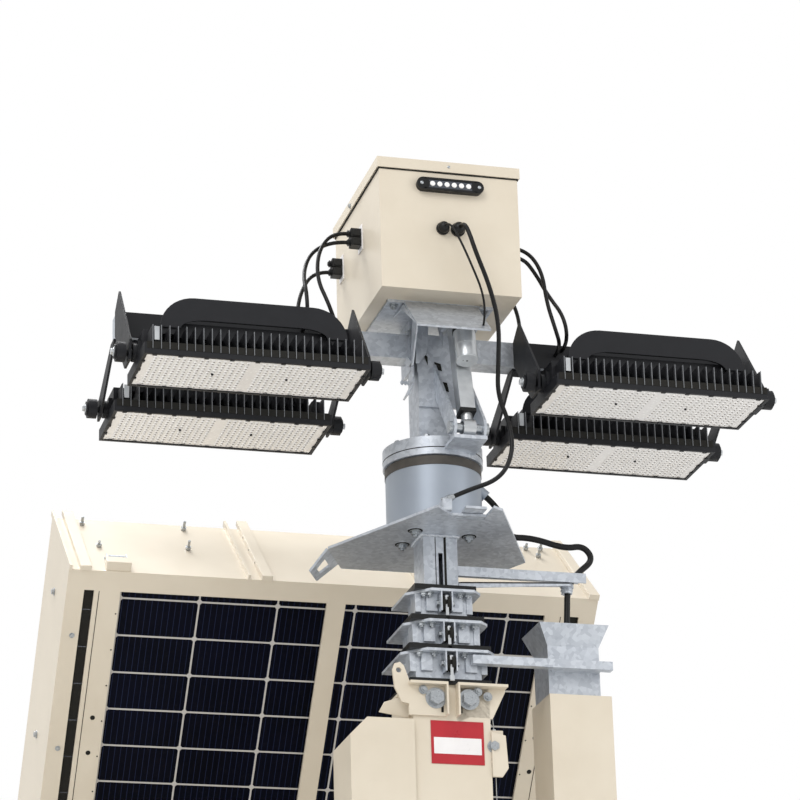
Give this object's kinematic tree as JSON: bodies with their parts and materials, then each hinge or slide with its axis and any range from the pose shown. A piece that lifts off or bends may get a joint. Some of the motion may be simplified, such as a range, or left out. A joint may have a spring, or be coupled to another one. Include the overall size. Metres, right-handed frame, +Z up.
{
  "type": "mobile light tower",
  "caption": "Towable light tower: a telescopic mast with a tilting, slewing floodlight head, a control box, a sloped solar array and a cabinet on a trailer with screw legs.",
  "frame": {"origin": "on the ground under the middle of the trailer's length and width", "axes": "+Z up, -Y towards the tow eye, +X to the right seen from the tow eye"},
  "size_m": [1.9, 3.9717, 3.157],
  "materials": {
    "cream_paint": "satin",
    "galvanised": "satin",
    "black_coat": "satin",
    "black_plastic": "matte",
    "lens": "gloss",
    "cells": "gloss",
    "aluminium": "satin",
    "cable": "satin",
    "tyre": "matte",
    "dark_mass": "matte"
  },
  "bodies": {
    "trailer": {"chassis": "cream_paint", "tow_eye": "galvanised", "axle": "galvanised", "mudguards": "cream_paint", "cabinet": "cream_paint", "battery_block": "dark_mass", "mast_tube": "cream_paint", "pads_0": "black_plastic", "winch_hood": "cream_paint", "cable_post": "cream_paint", "cable_funnel": "galvanised", "array_stand": "cream_paint"},
    "wheel_left": {"tyre_left": "tyre", "rim_left": "cream_paint"},
    "wheel_right": {"tyre_right": "tyre", "rim_right": "cream_paint"},
    "door_left": {"door_left": "cream_paint"},
    "door_right": {"door_right": "cream_paint"},
    "mast_1": {"mast_section_1": "galvanised", "pads_1": "black_plastic"},
    "mast_2": {"mast_section_2": "galvanised", "pads_2": "black_plastic"},
    "mast_3": {"mast_section_3": "galvanised", "pads_3": "black_plastic"},
    "mast_4": {"mast_section_4": "galvanised", "stay_plate": "galvanised", "slew_drum": "galvanised", "cable_main": "cable"},
    "turntable": {"turntable": "galvanised"},
    "head": {"cross_arm": "galvanised", "control_box": "cream_paint", "box_lid": "cream_paint", "box_fittings": "black_plastic", "light_yokes": "black_coat", "cable_left_front": "cable", "cable_left_rear": "cable", "cable_right_front": "cable", "cable_right_rear": "cable", "cable_left_second": "cable", "cable_right_second": "cable", "cable_thin": "cable", "cable_front": "cable"},
    "actuator_tube": {"actuator_tube": "aluminium"},
    "actuator_rod": {"actuator_rod": "aluminium"},
    "array": {"array_frame": "cream_paint", "solar_modules": "cells"},
    "jockey_leg": {"jockey_leg": "galvanised"},
    "jockey_wheel": {"jockey_wheel": "tyre"},
    "light_front_left": {"light_front_left": "black_coat", "lens_front_left": "lens"},
    "light_front_right": {"light_front_right": "black_coat", "lens_front_right": "lens"},
    "light_rear_left": {"light_rear_left": "black_coat", "lens_rear_left": "lens"},
    "light_rear_right": {"light_rear_right": "black_coat", "lens_rear_right": "lens"},
    "leg_front_left": {"leg_front_left": "galvanised"},
    "leg_front_right": {"leg_front_right": "galvanised"},
    "leg_rear_left": {"leg_rear_left": "galvanised"},
    "leg_rear_right": {"leg_rear_right": "galvanised"}
  },
  "joints": [
    {"name": "wheel_left_spin", "type": "hinge", "parent": "trailer", "child": "wheel_left", "pos_m": [-0.84, 0.85, 0.33], "axis": [1, 0, 0], "continuous": true},
    {"name": "wheel_right_spin", "type": "hinge", "parent": "trailer", "child": "wheel_right", "pos_m": [0.84, 0.85, 0.33], "axis": [1, 0, 0], "continuous": true},
    {"name": "door_left_hinge", "type": "hinge", "parent": "trailer", "child": "door_left", "pos_m": [-0.6125, 1.3, 0.735], "axis": [0, 0, 1], "range_deg": [0, 90]},
    {"name": "door_right_hinge", "type": "hinge", "parent": "trailer", "child": "door_right", "pos_m": [0.6125, 1.3, 0.735], "axis": [0, 0, -1], "range_deg": [0, 90]},
    {"name": "mast_slide_1", "type": "slide", "parent": "trailer", "child": "mast_1", "axis": [0, 0, 1], "range_m": [0, 1.3]},
    {"name": "mast_slide_2", "type": "slide", "parent": "mast_1", "child": "mast_2", "axis": [0, 0, 1], "range_m": [0, 1.3]},
    {"name": "mast_slide_3", "type": "slide", "parent": "mast_2", "child": "mast_3", "axis": [0, 0, 1], "range_m": [0, 1.3]},
    {"name": "mast_slide_4", "type": "slide", "parent": "mast_3", "child": "mast_4", "axis": [0, 0, 1], "range_m": [0, 1.3]},
    {"name": "head_slew", "type": "hinge", "parent": "mast_4", "child": "turntable", "pos_m": [0.14, 0.3, 2.5], "axis": [0, 0, 1], "range_deg": [-175, 175]},
    {"name": "head_tilt", "type": "hinge", "parent": "turntable", "child": "head", "pos_m": [0.14, 0.3, 2.776], "axis": [1, 0, 0], "range_deg": [-45, 0]},
    {"name": "actuator_pivot", "type": "hinge", "parent": "head", "child": "actuator_tube", "pos_m": [0.174, 0.195, 2.812], "axis": [1, 0, 0], "range_deg": [0, 39.1]},
    {"name": "actuator_stroke", "type": "slide", "parent": "actuator_tube", "child": "actuator_rod", "axis": [0, -0.2261, -0.9741], "range_m": [0, 0.078]},
    {"name": "light_front_left_tilt", "type": "hinge", "parent": "head", "child": "light_front_left", "pos_m": [-0.319, 0.126, 2.65], "axis": [1, 0, 0], "range_deg": [-30, 30]},
    {"name": "light_front_right_tilt", "type": "hinge", "parent": "head", "child": "light_front_right", "pos_m": [0.599, 0.126, 2.65], "axis": [1, 0, 0], "range_deg": [-30, 30]},
    {"name": "light_rear_left_tilt", "type": "hinge", "parent": "head", "child": "light_rear_left", "pos_m": [-0.319, 0.474, 2.65], "axis": [1, 0, 0], "range_deg": [-30, 30]},
    {"name": "light_rear_right_tilt", "type": "hinge", "parent": "head", "child": "light_rear_right", "pos_m": [0.599, 0.474, 2.65], "axis": [1, 0, 0], "range_deg": [-30, 30]},
    {"name": "array_tilt", "type": "hinge", "parent": "trailer", "child": "array", "pos_m": [0, 1.71946, 0.9613], "axis": [1, 0, 0], "range_deg": [-20, 0]},
    {"name": "leg_front_left_slide", "type": "slide", "parent": "trailer", "child": "leg_front_left", "axis": [0, 0, 1], "range_m": [0, 0.3]},
    {"name": "leg_front_right_slide", "type": "slide", "parent": "trailer", "child": "leg_front_right", "axis": [0, 0, 1], "range_m": [0, 0.3]},
    {"name": "leg_rear_left_slide", "type": "slide", "parent": "trailer", "child": "leg_rear_left", "axis": [0, 0, 1], "range_m": [0, 0.3]},
    {"name": "leg_rear_right_slide", "type": "slide", "parent": "trailer", "child": "leg_rear_right", "axis": [0, 0, 1], "range_m": [0, 0.3]},
    {"name": "jockey_slide", "type": "slide", "parent": "trailer", "child": "jockey_leg", "axis": [0, 0, 1], "range_m": [0, 0.22]},
    {"name": "jockey_spin", "type": "hinge", "parent": "jockey_leg", "child": "jockey_wheel", "pos_m": [0.13, -1.67, 0.1], "axis": [1, 0, 0], "continuous": true}
  ],
  "couplings": [
    {"joint": "mast_slide_2", "follows": "mast_slide_1", "ratio": 1},
    {"joint": "mast_slide_3", "follows": "mast_slide_1", "ratio": 1},
    {"joint": "mast_slide_4", "follows": "mast_slide_1", "ratio": 1},
    {"joint": "actuator_pivot", "follows": "head_tilt", "ratio": -0.85875},
    {"joint": "actuator_stroke", "follows": "head_tilt", "m_per_rad": -0.098043}
  ]
}
